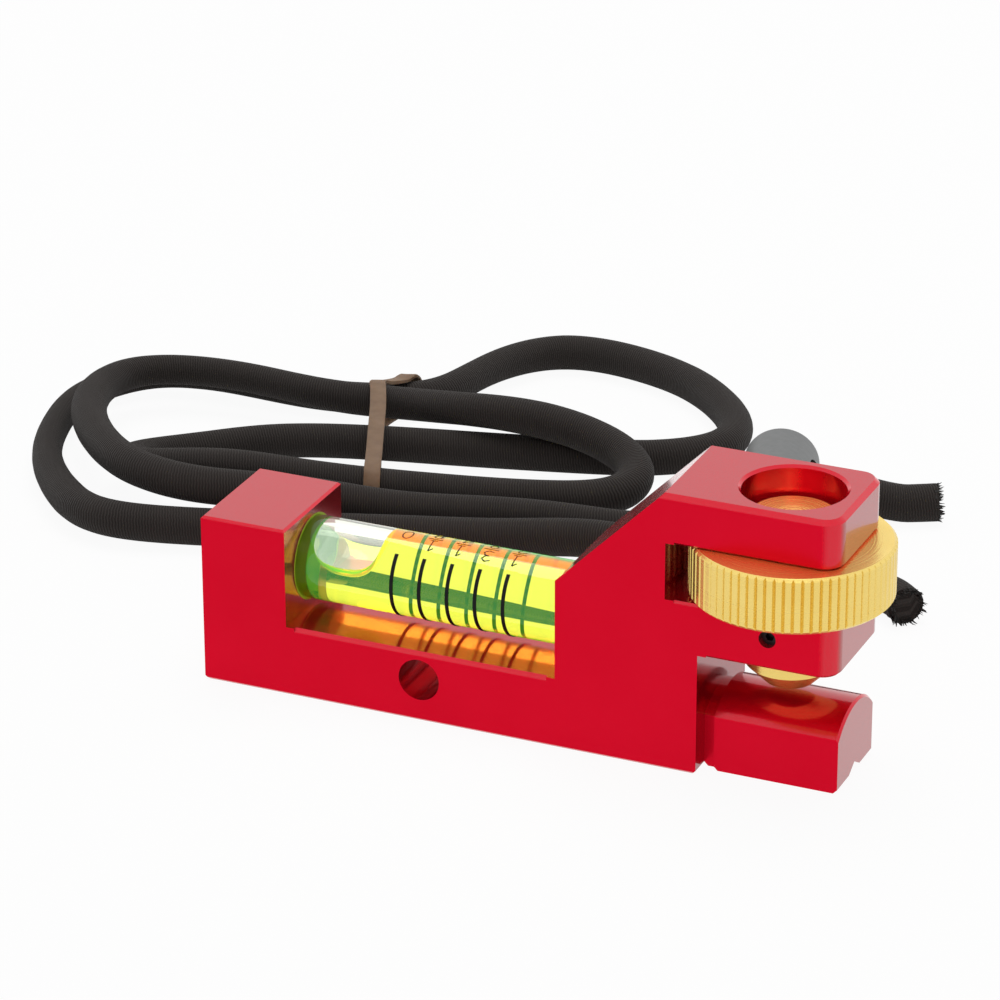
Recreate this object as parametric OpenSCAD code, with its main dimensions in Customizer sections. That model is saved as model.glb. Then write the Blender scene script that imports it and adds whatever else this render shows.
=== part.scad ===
// Slope level: a grooved aluminium bar with a graduated vial and a screw clamp. A shock cord
// with its cord lock lies behind it, gathered by a rubber band.
// Millimetres, +Z up, +X towards the clamp, +Y to the back. The origin is on the base, under
// the middle of the level's own outline. Lengths along the bar count from its left end.

/* [Bar] */
// Length of the bar, from its left end to the ends of the arms
bar_l = 97.6; // [94:0.1:104]
// Thickness of the bar, front to back
bar_w = 19.05; // [19:0.05:24]
// Height of the upper arm's top face
bar_h = 42.4; // [42:0.1:45]
// Length of the left end block
left_block_l = 13.4; // [11:0.1:16]
// Height of the left block and of the foot of the slope
block_h = 26.2; // [26:0.1:29]
// Length of the window
window_l = 42.3; // [38:0.1:44]
// Height of the window floor
window_floor_h = 10.9; // [10.5:0.1:11.5]
// Angle of the sloped shoulder
slope_angle = 45; // [43:1:55]

/* [Base] */
// Width of the V-groove along the base
groove_w = 6.4; // [5:0.1:7]
// Angle between the groove's sides
groove_angle = 120; // [110:5:140]
// Bore of the cross hole for the cord
cord_hole_d = 6.35; // [6.2:0.05:6.8]
// Distance of the cord hole from the left end
cord_hole_x = 34.5; // [25:0.5:45]
// Wall between the cord hole and the window floor
cord_hole_wall = 1.2; // [0.8:0.05:1.6]

/* [Arms] */
// Reach of the arms past the jaw face
arm_reach = 20.3; // [19:0.1:22]
// Thickness of the upper arm
upper_arm_t = 7.4; // [6.5:0.1:8]
// Thickness of the middle arm
middle_arm_t = 7.8; // [7.4:0.1:8.6]
// Radius of the arms' upright corners
arm_corner_r = 3; // [2:0.1:4]
// Gap between the wheel and the end of its slot
slot_end_gap = 0.75; // [0.5:0.05:1.5]
// Clear hole for the stud in the upper arm
top_hole_d = 14.8; // [14:0.1:15.5]

/* [Foot] */
// Width of the foot
foot_w = 14.2; // [13:0.1:15]
// Height of the foot at its crown
foot_h = 11.4; // [11:0.1:12]
// Height of the foot's shoulders
foot_shoulder_h = 8.4; // [8:0.1:9]
// Width of the relief cut at the foot's root
relief_w = 1.8; // [1.2:0.1:2.4]
// Depth of the relief cut
relief_depth = 0.975; // [0.6:0.025:1.4]

/* [Edges] */
// Chamfer round the top of the upper arm
arm_chamfer = 0.7; // [0.4:0.05:1]
// Chamfer along the window floor
floor_chamfer = 0.55; // [0.3:0.05:0.8]
// Distance at which a chamfer stops before an inner corner
chamfer_stop = 1.3; // [1:0.1:3]
// Small chamfer on the other long edges
edge_chamfer = 0.35; // [0.2:0.05:0.5]
// Chamfer of the crosswise edges of the base
base_corner = 0.6; // [0.3:0.05:1]
// Chamfer at the holes' mouths
hole_chamfer = 0.4; // [0.2:0.05:0.5]

/* [Clamp screw] */
// Diameter of the thumbwheel
wheel_d = 29.1; // [28:0.1:30]
// Thickness of the thumbwheel
wheel_t = 8.4; // [8:0.1:9]
// Gap above and below the wheel in its slot
wheel_side_gap = 0.075; // [0.05:0.005:0.15]
// Bevel of the wheel's rims
wheel_bevel = 0.45; // [0.4:0.05:0.7]
// Ridges of the wheel's knurl
knurl_count = 70; // [50:1:80]
// Depth of the grooves between the ridges
knurl_depth = 0.34; // [0.2:0.02:0.38]
// Share of the knurl's pitch that a ridge's flat top takes
knurl_flat = 0.62; // [0.4:0.02:0.8]
// Diameter of the stud
stud_d = 12.7; // [12:0.05:13]
// Length of the stud
stud_l = 25.4; // [24:0.1:26.5]
// Height of the cone at the stud's lower end
cone_h = 2.8; // [2:0.1:3.5]
// Gap between the stud's tip and the foot
tip_gap = 1.6; // [1.4:0.1:2.2]
// Running clearance round the stud
stud_clearance = 0.05; // [0.02:0.01:0.1]
// Distance of the screw's axis from the ends of the arms
screw_inset = 10; // [9.5:0.1:11]
// How far the wheel lifts the stud from here
stud_lift = 3.8; // [2:0.1:3.8]
// How far the wheel lowers the stud from here
stud_drop = 1.3; // [0.6:0.1:1.3]

/* [Key screw] */
// Diameter of the key screw
key_screw_d = 2.5; // [2.2:0.1:3]
// Distance of the key screw from the wheel's slot
key_below_slot = 3.3; // [3:0.1:4.2]
// Depth of the screw's head under the bar's face
key_recess = 1.1; // [0.6:0.1:1.6]
// Diameter of its dog point
dog_d = 1.6; // [1.2:0.1:1.8]
// Depth of the keyway in the stud
keyway_depth = 1.2; // [0.9:0.1:1.5]
// Clearance of the dog in the keyway
dog_clearance = 0.1; // [0.05:0.05:0.2]

/* [Vial] */
// Outer diameter of the vial
vial_d = 12.3; // [11.5:0.1:12.6]
// Wall of the vial tube
vial_wall = 1.4; // [1:0.1:1.8]
// Gap between the vial and the window floor
vial_floor_gap = 1.25; // [1:0.05:1.5]
// Thickness of the setting compound round the vial's ends
bedding_t = 0.35; // [0.2:0.05:0.5]
// Depth of the blind seat in the right block
right_seat_l = 6; // [4:0.1:8]
// Length of the plug that closes the bore in the left block
bore_plug_l = 4; // [3:0.1:6]
// Length of the left plug of the vial
left_plug_l = 10.6; // [10:0.1:12]
// Length of the right plug of the vial
right_plug_l = 4; // [3:0.1:5]
// Length of the bubble
bubble_l = 10.4; // [8:0.1:12]
// Thickness of the bubble
bubble_t = 5.4; // [4:0.1:6]
// Distance of the first graduation from the window's left wall
first_ring_x = 15.3; // [12:0.1:16]
// Spacing of the graduations
ring_pitch = 4.375; // [3.5:0.125:4.75]
// Number of graduations
ring_count = 5; // [3:1:5]
// Width of a graduation
ring_w = 0.55; // [0.3:0.05:0.8]
// Arc of a graduation, open at the top
ring_arc = 280; // [240:5:300]
// Thickness of a graduation on the tube
ring_t = 0.1; // [0.06:0.02:0.2]

/* [Cord and its lock] */
// Diameter of the shock cord
cord_d = 5.6; // [5.2:0.1:5.7]
// Width of the rubber band
band_w = 2.6; // [2:0.1:3]
// Outer diameter of the lock's barrel
lock_d = 12; // [12:0.1:13]
// Length of the barrel
lock_l = 14.4; // [14:0.1:16]
// Bore of the barrel
lock_bore_d = 9; // [8.6:0.1:9.4]
// Wall at the barrel's domed end
lock_end_wall = 1.5; // [1:0.1:2]
// Cross hole for the cord in the barrel
lock_hole_d = 7; // [6.6:0.1:7.4]
// Radius of the barrel's domed end
lock_dome_r = 9.5; // [8.5:0.1:12]
// Travel of the plunger
plunger_travel = 2; // [1:0.1:2]
// Running clearance of the plunger in the barrel
plunger_clearance = 0.05; // [0.02:0.01:0.1]
// Height of the oblong slot through the plunger
plunger_slot_h = 6.5; // [6.2:0.1:6.8]
// Thickness of the plunger's head
plunger_head_t = 2.3; // [1.5:0.1:3]
// Wire of the lock's spring
spring_wire_d = 0.5; // [0.4:0.05:0.6]
// Outer diameter of the spring
spring_d = 7; // [6:0.1:8]
// Turns of the spring
spring_turns = 3; // [2:0.5:3]

/* [Hidden] */
$fn = 96;

// How far a cutter runs past the face that it cuts
past = 1;
// Slip of a piece that is seated in another
slip = 0.02;

// Places along the bar, from its left end
window_end_x = left_block_l + window_l;
slope_top_x = window_end_x + (bar_h - block_h) / tan(slope_angle);
jaw_x = bar_l - arm_reach;
screw_x = bar_l - screw_inset;
slot_x = screw_x - wheel_d / 2 - slot_end_gap;
foot_x = jaw_x + relief_w;
origin_x = (screw_x + wheel_d / 2) / 2;

// Heights of the arms and of the wheel's slot
slot_top_z = bar_h - upper_arm_t;
slot_floor_z = slot_top_z - wheel_t - 2 * wheel_side_gap;
middle_arm_z = slot_floor_z - middle_arm_t;

// The foot's crown is an arc over its width
foot_crown_rise = foot_h - foot_shoulder_h;
foot_crown_r = (pow(foot_w / 2, 2) + pow(foot_crown_rise, 2)) / (2 * foot_crown_rise);

groove_depth = groove_w / 2 / tan(groove_angle / 2);
cord_hole_z = window_floor_h - cord_hole_wall - cord_hole_d / 2;

// The stud stands over the foot, and its keyway follows the key screw's dog
stud_z = foot_h + tip_gap;
stud_bore_r = stud_d / 2 + stud_clearance;
stud_end_chamfer = 0.4;
seam_w = 0.2;
key_z = slot_floor_z - key_below_slot;
keyway_end_gap = 0.3;
keyway_low_z = key_z - stud_lift - dog_d / 2 - keyway_end_gap;
keyway_top_z = key_z + stud_drop + dog_d / 2 + keyway_end_gap;
dog_tip_y = stud_d / 2 - keyway_depth + 0.3;
key_shoulder_y = stud_bore_r + 0.4;

// The vial lies along the bar in two bores, the left one through the block's end face
vial_z = window_floor_h + vial_floor_gap + vial_d / 2;
vial_bore_r = vial_d / 2 + bedding_t;
vial_x = bore_plug_l;
vial_end_x = window_end_x + right_seat_l;
vial_inner_r = vial_d / 2 - vial_wall;
chamber_x = vial_x + left_plug_l;
chamber_end_x = vial_end_x - right_plug_l;
bubble_film = 0.3;
bubble_gap = 0.6;

// The cord's route behind the level, as the control points of a smooth curve
CORD_POINTS = [
    [37, 49, 2.8], [33.5, 52.5, 2.8], [26, 53.5, 2.8], [18, 48, 2.8], [9.5, 44.5, 4.8],
    [-2, 45, 7], [-14, 45.5, 6.8], [-27.5, 44.5, 4.2], [-42, 42, 3.4], [-57, 37.5, 3],
    [-71, 33, 3], [-87.5, 26, 4], [-97.5, 33, 3.4], [-108, 45, 3.4], [-113, 58, 3],
    [-115, 67.5, 3.2], [-114.5, 76, 2.8], [-108.5, 84, 3.8], [-97, 87, 4],
    [-80.5, 87, 2.8], [-67.5, 89, 3.4], [-59.5, 95, 3.2], [-58, 109.5, 3.4],
    [-49.5, 123, 3.2], [-32, 120.5, 3], [-21.5, 115.5, 2.8], [-10, 103.5, 3],
    [-9, 93, 2.8], [-17, 85.5, 2.8], [-30.5, 80.5, 3.2], [-47.5, 77, 2.8],
    [-63, 72.5, 3.2], [-76.5, 66, 4], [-86, 59.5, 3.2], [-93, 55, 2.8],
    [-94.5, 48.5, 4.2], [-89, 42.5, 6.2], [-75.5, 45.5, 8], [-64, 49.5, 6],
    [-53, 53.5, 4.8], [-39.5, 57.5, 4.2], [-26.5, 59, 5], [-15, 64, 5], [-15, 74, 6.4],
    [-27, 79, 8.6], [-40, 79, 9.6], [-51.5, 79.5, 8.4], [-65, 84, 5.4], [-75, 80.5, 6.2],
    [-90, 82.5, 6.6], [-106.5, 78.5, 7.2], [-110.5, 68, 7], [-104.5, 52.5, 8.4],
    [-89, 35, 9.8], [-75.5, 35, 8.4], [-65, 40.5, 7.4], [-56, 45, 5.6], [-46, 49, 3.6],
    [-33, 51.5, 4.6], [-20.5, 52.5, 5.4], [-10, 53.5, 5], [-5, 60.5, 3.4],
    [-6.5, 69, 3.2], [-1, 76.5, 6], [5.5, 78.5, 6], [12, 80.5, 6], [18.5, 82, 4.4],
    [24, 84, 2.8], [29.5, 87, 2.8]];
cord_steps = 2;
cord_sides = 10;
cord_last = len(CORD_POINTS) - 1;

// The band lies in an upright plane across the strands: distance along the plane, height
band_place = [-66, 85.2, 0];
band_turn = -68.3;
BAND_OUTSIDE = [[-5.6, 0], [-7.9, 1.3], [-8.5, 3.4], [-8, 5.4], [-6.3, 6.6], [1.7, 9.4],
    [3, 9.55], [34.8, 8.5], [36.9, 7.5], [37.9, 5.1], [37.9, 1.2], [37, 0]];
BAND_INSIDE = [[-5.2, 0.6], [-7.3, 1.7], [-7.8, 3.4], [-7.4, 5], [-6, 5.9], [1.9, 8.7],
    [3, 8.85], [34.6, 7.8], [36.4, 7], [37.2, 5], [37.2, 1.6], [36.5, 0.6]];

// The lock lies on its side where the cord passes through it
lock_at = 64;
lock_dir = CORD_POINTS[lock_at + 1] - CORD_POINTS[lock_at - 1];
lock_turn = atan2(lock_dir.y, lock_dir.x);
lock_open_l = 5.5;
lock_bore_end = lock_l - lock_open_l - lock_end_wall;
plunger_end = 4;
plunger_slot_end = 3;
plunger_slot_start = -6;
plunger_head_gap = 0.2;
spring_end_gap = 0.05;

// A point of the smooth curve: span i of its control points, share t along that span
function ghost(i) = i < 0 ? 2 * CORD_POINTS[0] - CORD_POINTS[1]
    : i > cord_last ? 2 * CORD_POINTS[cord_last] - CORD_POINTS[cord_last - 1]
    : CORD_POINTS[i];
function on_curve(i, t) = (pow(1 - t, 3) * ghost(i - 1)
    + (3 * pow(t, 3) - 6 * pow(t, 2) + 4) * ghost(i)
    + (1 + 3 * t + 3 * pow(t, 2) - 3 * pow(t, 3)) * ghost(i + 1)
    + pow(t, 3) * ghost(i + 2)) / 6;
function cord_route(steps) = [for (i = [0:cord_last - 1], s = [0:steps - 1]) on_curve(i, s / steps),
    CORD_POINTS[cord_last]];

function unit(v) = v / norm(v);
function heading(p, i) = unit(p[min(i + 1, len(p) - 1)] - p[max(i - 1, 0)]);
function across(p, i) = unit(cross(heading(p, i), [0, 0, 1]));
function ring_points(p, i, r, sides) = [for (k = [0:sides - 1])
    p[i] + r * cos(360 * (k + 0.5) / sides) * across(p, i)
    + r * sin(360 * (k + 0.5) / sides) * cross(across(p, i), heading(p, i))];

// Triangles of a closed tube of n rings
function tube_faces(n, sides) = concat(
    [for (k = [1:sides - 2]) [0, k, k + 1]],
    [for (i = [0:n - 2], k = [0:sides - 1]) [i * sides + k, (i + 1) * sides + k,
        (i + 1) * sides + (k + 1) % sides]],
    [for (i = [0:n - 2], k = [0:sides - 1]) [i * sides + k,
        (i + 1) * sides + (k + 1) % sides, i * sides + (k + 1) % sides]],
    [for (k = [1:sides - 2]) [(n - 1) * sides, (n - 1) * sides + k + 1,
        (n - 1) * sides + k]]);

function route_length(p) = len(p) < 2 ? 0 : sum_steps(p, 0, 0);
function sum_steps(p, i, total) = i >= len(p) - 1 ? total
    : sum_steps(p, i + 1, total + norm(p[i + 1] - p[i]));

// Least distance between stretches of the route that are more than a few points apart
function least_gap(p, apart, d) = min([for (i = [0:len(p) - apart - 1])
    min([for (j = [i + apart:len(p) - 1]) norm(p[i] - p[j])])]) - d;

module at_level() {
    translate([-origin_x, 0, 0])
        children();
}

// A cutter for a chamfer on an edge that runs along X
module edge_cut_x(x0, x1, y, z, c) {
    translate([(x0 + x1) / 2, y, z])
        rotate([45, 0, 0])
            cube([x1 - x0, c * sqrt(2), c * sqrt(2)], center = true);
}

// The same for an edge that runs along Y, over the bar's whole thickness
module edge_cut_y(x, z, c) {
    translate([x, 0, z])
        rotate([0, 45, 0])
            cube([c * sqrt(2), bar_w + 2 * past, c * sqrt(2)], center = true);
}

// A round rod along X, from x0 to x1
module rod_x(x0, x1, r) {
    translate([x0, 0, 0])
        rotate([0, 90, 0])
            cylinder(r = r, h = x1 - x0);
}

// The bar's outline seen from the front
module bar_blank() {
    rotate([90, 0, 0])
        linear_extrude(bar_w, center = true)
            polygon([[0, 0], [0, block_h], [left_block_l, block_h],
                [left_block_l, window_floor_h], [window_end_x, window_floor_h],
                [window_end_x, block_h], [slope_top_x, bar_h], [bar_l, bar_h],
                [bar_l, slot_top_z], [slot_x, slot_top_z], [slot_x, slot_floor_z],
                [bar_l, slot_floor_z], [bar_l, middle_arm_z], [jaw_x, middle_arm_z],
                [jaw_x, 0]]);
}

// Crowned section along X, inset from the foot's own section
module foot_section(x0, x1, inset, end_chamfer) {
    intersection() {
        translate([x0, inset - foot_w / 2, 0])
            cube([x1 - x0, foot_w - 2 * inset, foot_h]);
        translate([0, 0, foot_h - foot_crown_r])
            union() {
                rod_x(x0, x1 - end_chamfer, foot_crown_r - inset);
                translate([x1 - end_chamfer, 0, 0])
                    rotate([0, 90, 0])
                        cylinder(r1 = foot_crown_r - inset, h = end_chamfer,
                            r2 = foot_crown_r - inset - end_chamfer);
            }
    }
}

module foot() {
    foot_section(jaw_x - past, foot_x + past, relief_depth, 0.1);
    difference() {
        foot_section(foot_x, bar_l, 0, edge_chamfer);
        edge_cut_y(foot_x, 0, base_corner);
        edge_cut_y(bar_l, 0, base_corner);
    }
}

// What rounds the upright corners of both arms
module arm_corner_cuts() {
    corner_x = bar_l - arm_corner_r;
    corner_y = bar_w / 2 - arm_corner_r;
    for (side = [-1, 1])
        difference() {
            translate([corner_x, side * (corner_y + (arm_corner_r + past) / 2), middle_arm_z - past])
                translate([0, -(arm_corner_r + past) / 2, 0])
                    cube([arm_corner_r + past, arm_corner_r + past, bar_h]);
            translate([corner_x, side * corner_y, middle_arm_z - 2 * past])
                cylinder(r = arm_corner_r, h = bar_h + 2 * past);
        }
}

// Chamfer round an arm's edge at height z, along both sides, the end and its round corners
module arm_edge_cuts(x0, z, c) {
    corner_x = bar_l - arm_corner_r;
    corner_y = bar_w / 2 - arm_corner_r;
    for (side = [-1, 1]) {
        edge_cut_x(x0, corner_x, side * bar_w / 2, z, c);
        translate([corner_x, side * corner_y, z])
            rotate([0, 0, side > 0 ? 0 : -90])
                rotate_extrude(angle = 90)
                    translate([arm_corner_r, 0])
                        rotate(45)
                            square(c * sqrt(2), center = true);
    }
    translate([bar_l, 0, z])
        rotate([0, 45, 0])
            cube([c * sqrt(2), 2 * corner_y, c * sqrt(2)], center = true);
}

// Groove of the base, cord hole and the crosswise and long edges of the bar
module base_cuts() {
    translate([-past, 0, 0])
        rotate([90, 0, 90])
            linear_extrude(bar_l + 2 * past)
                polygon([[-groove_w / 2, -past], [groove_w / 2, -past], [groove_w / 2, 0],
                    [0, groove_depth], [-groove_w / 2, 0]]);
    translate([cord_hole_x, bar_w / 2 + past, cord_hole_z])
        rotate([90, 0, 0])
            cylinder(d = cord_hole_d, h = bar_w + 2 * past);
    edge_cut_y(0, 0, base_corner);
    edge_cut_y(jaw_x, 0, base_corner);
    for (side = [-1, 1]) {
        edge_cut_x(-past, jaw_x + past, side * bar_w / 2, 0, edge_chamfer);
        edge_cut_x(-past, left_block_l + past, side * bar_w / 2, block_h, edge_chamfer);
        edge_cut_x(left_block_l + chamfer_stop, window_end_x - chamfer_stop, side * bar_w / 2,
            window_floor_h, floor_chamfer);
    }
    edge_cut_y(0, block_h, edge_chamfer);
    edge_cut_y(left_block_l, block_h, edge_chamfer);
}

// Bores of the vial, the clamp screw and the key screw
module bore_cuts() {
    translate([0, 0, vial_z])
        rod_x(-past, vial_end_x, vial_bore_r);
    translate([screw_x, 0, middle_arm_z - past])
        cylinder(r = stud_bore_r, h = middle_arm_t + 2 * past);
    translate([screw_x, 0, slot_top_z - past])
        cylinder(d = top_hole_d, h = upper_arm_t + 2 * past);
    translate([screw_x, 0, bar_h - hole_chamfer])
        cylinder(d1 = top_hole_d, d2 = top_hole_d + 2 * hole_chamfer + 2 * past,
            h = hole_chamfer + past);
    translate([screw_x, 0, key_z])
        rotate([90, 0, 0])
            cylinder(d = key_screw_d + 2 * slip, h = bar_w / 2 + past);
}

module body() {
    color("crimson")
        at_level()
            difference() {
                union() {
                    bar_blank();
                    foot();
                }
                arm_corner_cuts();
                arm_edge_cuts(slope_top_x - past, bar_h, arm_chamfer);
                arm_edge_cuts(slot_x + chamfer_stop, slot_top_z, edge_chamfer);
                arm_edge_cuts(slot_x + chamfer_stop, slot_floor_z, edge_chamfer);
                arm_edge_cuts(jaw_x + chamfer_stop, middle_arm_z, edge_chamfer);
                base_cuts();
                bore_cuts();
            }
}

module vial_tube() {
    color("honeydew", 0.4)
        at_level()
            translate([0, 0, vial_z])
                difference() {
                    rod_x(vial_x, vial_end_x, vial_d / 2);
                    rod_x(vial_x - past, vial_end_x + past, vial_inner_r);
                }
}

module vial_plug_left() {
    color("lightyellow", 0.5)
        at_level()
            translate([0, 0, vial_z])
                rod_x(vial_x, chamber_x, vial_inner_r - slip);
}

module vial_plug_right() {
    color("lightyellow", 0.5)
        at_level()
            translate([0, 0, vial_z])
                rod_x(chamber_end_x, vial_end_x, vial_inner_r - slip);
}

// The bubble is a round-ended cavity against the top of the tube
module vial_liquid() {
    bubble_r = bubble_t / 2;
    bubble_x = chamber_x + bubble_gap;
    color("greenyellow", 0.7)
        at_level()
            translate([0, 0, vial_z])
                difference() {
                    rod_x(chamber_x, chamber_end_x, vial_inner_r - slip);
                    translate([0, 0, vial_inner_r - bubble_film - bubble_r])
                        union() {
                            rod_x(bubble_x + bubble_r, bubble_x + bubble_l - bubble_r, bubble_r);
                            for (x = [bubble_x + bubble_r, bubble_x + bubble_l - bubble_r])
                                translate([x, 0, 0])
                                    sphere(r = bubble_r);
                        }
                }
}

module vial_graduations() {
    color("black")
        at_level()
            for (i = [0:ring_count - 1])
                translate([left_block_l + first_ring_x + i * ring_pitch, 0, vial_z])
                    rotate([0, 90, 0])
                        rotate([0, 0, -ring_arc / 2])
                            rotate_extrude(angle = ring_arc)
                                translate([vial_d / 2, -ring_w / 2])
                                    square([ring_t, ring_w]);
}

module vial_bedding() {
    color("ivory")
        at_level()
            translate([0, 0, vial_z])
                for (span = [[bore_plug_l, left_block_l], [window_end_x, vial_end_x]])
                    difference() {
                        rod_x(span[0], span[1], vial_bore_r - slip);
                        rod_x(span[0] - past, span[1] + past, vial_d / 2 + slip);
                    }
}

module vial_bore_plug() {
    color("firebrick")
        at_level()
            translate([0, 0, vial_z])
                rod_x(0, bore_plug_l, vial_bore_r - slip);
}

// Outline of the knurl: flat ridges with a V-groove between each two
module knurl_outline() {
    step = 360 / knurl_count;
    r = wheel_d / 2;
    polygon([for (i = [0:knurl_count - 1], k = [0:2])
        let (a = step * (i + [-knurl_flat / 2, knurl_flat / 2, 0.5][k]))
            (k < 2 ? r : r - knurl_depth) * [cos(a), sin(a)]]);
}

module thumbwheel() {
    rim_r = wheel_d / 2 - wheel_bevel;
    bevel = wheel_bevel + past;
    color("gold")
        at_level()
            translate([screw_x, 0, slot_floor_z + wheel_side_gap])
                difference() {
                    intersection() {
                        linear_extrude(wheel_t)
                            knurl_outline();
                        rotate_extrude()
                            polygon([[0, 0], [rim_r, 0], [rim_r + bevel, bevel],
                                [rim_r + bevel, wheel_t - bevel], [rim_r, wheel_t],
                                [0, wheel_t]]);
                    }
                    translate([0, 0, -past])
                        cylinder(r = stud_bore_r, h = wheel_t + 2 * past);
                }
}

module clamp_stud() {
    r = stud_d / 2;
    color("gold")
        at_level()
            difference() {
                translate([screw_x, 0, stud_z])
                    rotate_extrude()
                        polygon([[0, 0], [r - cone_h, 0], [r - seam_w, cone_h - seam_w],
                            [r - seam_w, cone_h], [r, cone_h],
                            [r, stud_l - stud_end_chamfer], [r - stud_end_chamfer, stud_l],
                            [0, stud_l]]);
                translate([screw_x - dog_d / 2 - dog_clearance, -r - past, keyway_low_z])
                    cube([dog_d + 2 * dog_clearance, keyway_depth + past,
                        keyway_top_z - keyway_low_z]);
            }
}

// Set screw with a six-sided socket and a dog point, from the bar's front face inwards
module key_screw() {
    head_y = bar_w / 2 - key_recess;
    socket_d = key_screw_d * 0.56;
    color("dimgray")
        at_level()
            translate([screw_x, 0, key_z])
                rotate([90, 0, 0])
                    difference() {
                        union() {
                            translate([0, 0, key_shoulder_y])
                                cylinder(d = key_screw_d, h = head_y - key_shoulder_y);
                            translate([0, 0, dog_tip_y])
                                cylinder(d = dog_d, h = key_shoulder_y - dog_tip_y + 0.1);
                        }
                        translate([0, 0, head_y - socket_d * 0.6])
                            cylinder(d = socket_d, h = socket_d, $fn = 6);
                    }
}

module shock_cord() {
    p = cord_route(cord_steps);
    fine = cord_route(8);
    echo(cord_length = route_length(fine));
    echo(cord_least_gap = least_gap(fine, 24, cord_d));
    color("black")
        polyhedron(points = [for (i = [0:len(p) - 1]) each ring_points(p, i, cord_d / 2, cord_sides)],
            faces = tube_faces(len(p), cord_sides), convexity = 10);
}

module hank_band() {
    color("sienna")
        translate(band_place)
            rotate([0, 0, band_turn])
                rotate([90, 0, 0])
                    linear_extrude(band_w, center = true)
                        difference() {
                            polygon(BAND_OUTSIDE);
                            polygon(BAND_INSIDE);
                        }
}

// Frame of the lock: X along the cord, Z along the barrel towards its domed end
module at_lock() {
    translate([CORD_POINTS[lock_at].x, CORD_POINTS[lock_at].y, lock_d / 2])
        rotate([0, 0, lock_turn])
            rotate([-90, 0, 0])
                children();
}

module cord_lock_barrel() {
    color("gray")
        at_lock()
            difference() {
                intersection() {
                    translate([0, 0, -lock_open_l])
                        cylinder(d = lock_d, h = lock_l);
                    translate([0, 0, lock_l - lock_open_l - lock_dome_r])
                        sphere(r = lock_dome_r);
                }
                translate([0, 0, -lock_open_l - past])
                    cylinder(d = lock_bore_d, h = lock_bore_end + lock_open_l + past);
                rotate([0, 90, 0])
                    cylinder(d = lock_hole_d, h = lock_d + 2 * past, center = true);
            }
}

module cord_lock_plunger() {
    stem_r = lock_bore_d / 2 - plunger_clearance;
    head_z = -lock_open_l - plunger_travel - plunger_head_gap;
    slot_r = plunger_slot_h / 2;
    color("silver")
        at_lock()
            difference() {
                union() {
                    translate([0, 0, head_z])
                        cylinder(r = stem_r, h = plunger_end - head_z);
                    translate([0, 0, head_z - plunger_head_t])
                        cylinder(d = lock_d, h = plunger_head_t);
                }
                rotate([0, 90, 0])
                    union() {
                        for (z = [plunger_slot_start + slot_r, plunger_slot_end - slot_r])
                            translate([-z, 0, 0])
                                cylinder(r = slot_r, h = lock_d + 2 * past, center = true);
                        translate([-(plunger_slot_start + plunger_slot_end) / 2, 0, 0])
                            cube([plunger_slot_end - plunger_slot_start - plunger_slot_h,
                                plunger_slot_h, lock_d + 2 * past], center = true);
                    }
            }
}

module cord_lock_spring() {
    r = (spring_d - spring_wire_d) / 2;
    low = plunger_end + spring_end_gap + spring_wire_d / 2;
    rise = lock_bore_end - spring_end_gap - spring_wire_d / 2 - low;
    n = 16 * spring_turns;
    p = [for (i = [0:n]) [r * cos(360 * i / 16), r * sin(360 * i / 16), low + rise * i / n]];
    color("lightgray")
        at_lock()
            polyhedron(points = [for (i = [0:n]) each ring_points(p, i, spring_wire_d / 2, 6)],
                faces = tube_faces(n + 1, 6), convexity = 6);
}

body();
vial_tube();
vial_plug_left();
vial_plug_right();
vial_liquid();
vial_graduations();
vial_bedding();
vial_bore_plug();
thumbwheel();
clamp_stud();
key_screw();
shock_cord();
hank_band();
cord_lock_barrel();
cord_lock_plunger();
cord_lock_spring();
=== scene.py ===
"""Looks of a slope level: a red anodised bar with a vial and a brass screw clamp, and the
black shock cord that lies behind it in a rubber band, with its grey cord lock."""
import math
import random

import bmesh
import bpy
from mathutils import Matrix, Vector


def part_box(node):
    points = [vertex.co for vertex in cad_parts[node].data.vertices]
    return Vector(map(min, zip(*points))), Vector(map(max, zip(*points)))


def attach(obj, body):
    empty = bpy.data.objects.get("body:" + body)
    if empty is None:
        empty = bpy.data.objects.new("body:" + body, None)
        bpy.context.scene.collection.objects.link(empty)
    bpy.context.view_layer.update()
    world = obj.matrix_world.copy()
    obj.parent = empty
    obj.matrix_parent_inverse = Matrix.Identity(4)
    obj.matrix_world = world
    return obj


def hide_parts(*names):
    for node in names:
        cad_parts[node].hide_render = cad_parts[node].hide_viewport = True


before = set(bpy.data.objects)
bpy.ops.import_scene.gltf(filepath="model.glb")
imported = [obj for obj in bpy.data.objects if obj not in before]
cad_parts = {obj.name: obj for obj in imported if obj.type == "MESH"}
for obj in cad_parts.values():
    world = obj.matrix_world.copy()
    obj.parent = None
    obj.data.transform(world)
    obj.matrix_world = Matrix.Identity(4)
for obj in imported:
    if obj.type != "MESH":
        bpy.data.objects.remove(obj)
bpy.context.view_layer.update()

# The camera stands to the front right of the level, a little above it, with a long lens.
camera = bpy.data.objects.new("camera", bpy.data.cameras.new("camera"))
bpy.context.scene.collection.objects.link(camera)
bpy.context.scene.camera = camera
camera.location = (0.24306, -0.57035, 0.31160)
camera.rotation_euler = [math.radians(a) for a in (65.871, 0.121, 23.699)]
camera.data.sensor_width = 36
camera.data.lens = 172.56
camera.data.clip_start = 0.05


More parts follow.
